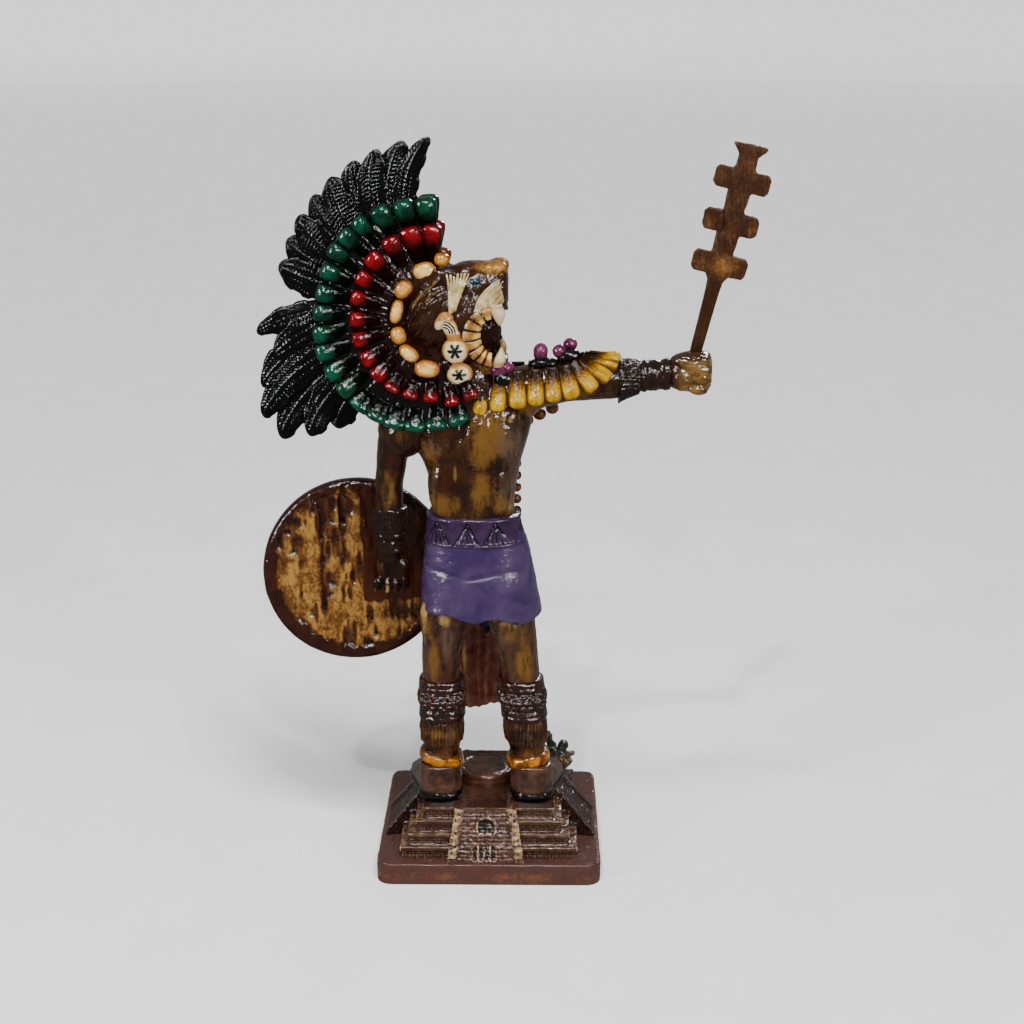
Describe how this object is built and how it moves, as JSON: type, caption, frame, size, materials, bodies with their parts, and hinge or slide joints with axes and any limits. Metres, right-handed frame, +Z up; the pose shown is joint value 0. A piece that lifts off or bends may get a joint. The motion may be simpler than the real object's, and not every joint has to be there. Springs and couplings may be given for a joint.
{
  "type": "warrior statue",
  "caption": "Painted warrior statue with a big cat helmet and feather headdress, raising a toothed club and holding a round shield, on a stepped pyramid plinth.",
  "frame": {"origin": "middle of the plinth's underside", "axes": "+Z up; +Y the way the chest faces; +X to the warrior's right, the side of the raised arm and club"},
  "size_m": [0.2389, 0.104, 0.3533],
  "materials": {
    "plinth_resin": "glossy dark purple-brown paint, worn to cream on the edges",
    "painted_resin": "glossy painted resin: amber-brown skin, purple skirt, green, red and yellow feather tips",
    "black_feather": "satin black paint over moulded barbs",
    "club_wood": "stained brown wood",
    "shield_bark": "glossy amber flakes on a dark red-brown ground"
  },
  "bodies": {
    "root": {"plinth": "plinth_resin", "figure": "painted_resin", "feather_fan": "black_feather", "club": "club_wood", "shield": "shield_bark"}
  },
  "joints": []
}
